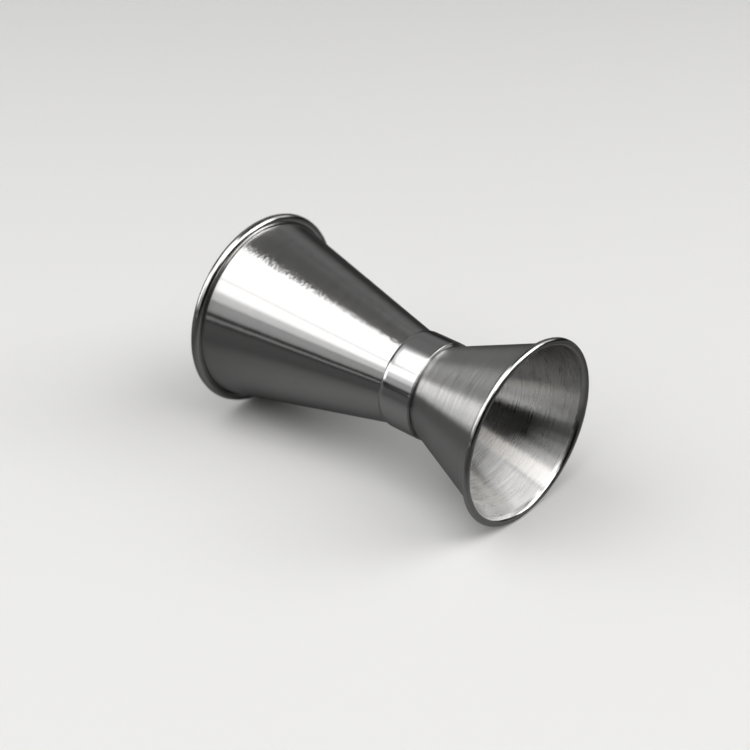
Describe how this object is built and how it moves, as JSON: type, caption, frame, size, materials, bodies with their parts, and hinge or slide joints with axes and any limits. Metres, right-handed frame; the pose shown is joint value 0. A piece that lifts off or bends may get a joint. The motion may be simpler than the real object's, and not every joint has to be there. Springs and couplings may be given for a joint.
{
  "type": "bar jigger",
  "caption": "Hourglass spirit measure: a larger and a smaller conical steel cup back to back, rolled rims, polished waist collar.",
  "frame": {"origin": "centre of the larger cup's rim, on the plane that the jigger stands on", "axes": "+Z along the jigger's axis, from the larger cup's mouth up to the smaller cup's mouth; X and Y are free, since the cups are round"},
  "size_m": [0.0438, 0.0438, 0.075],
  "materials": {
    "brushed_cup_steel": "satin stainless steel, finely brushed around the axis, polished on the rolled rims",
    "polished_collar_steel": "stainless steel polished to a mirror",
    "weld_metal": "bare weld metal, dull"
  },
  "bodies": {
    "root": {"large_cup": "brushed_cup_steel", "small_cup": "brushed_cup_steel", "waist_collar": "polished_collar_steel", "weld_nugget_1": "weld_metal", "weld_nugget_2": "weld_metal", "weld_nugget_3": "weld_metal"}
  },
  "joints": []
}
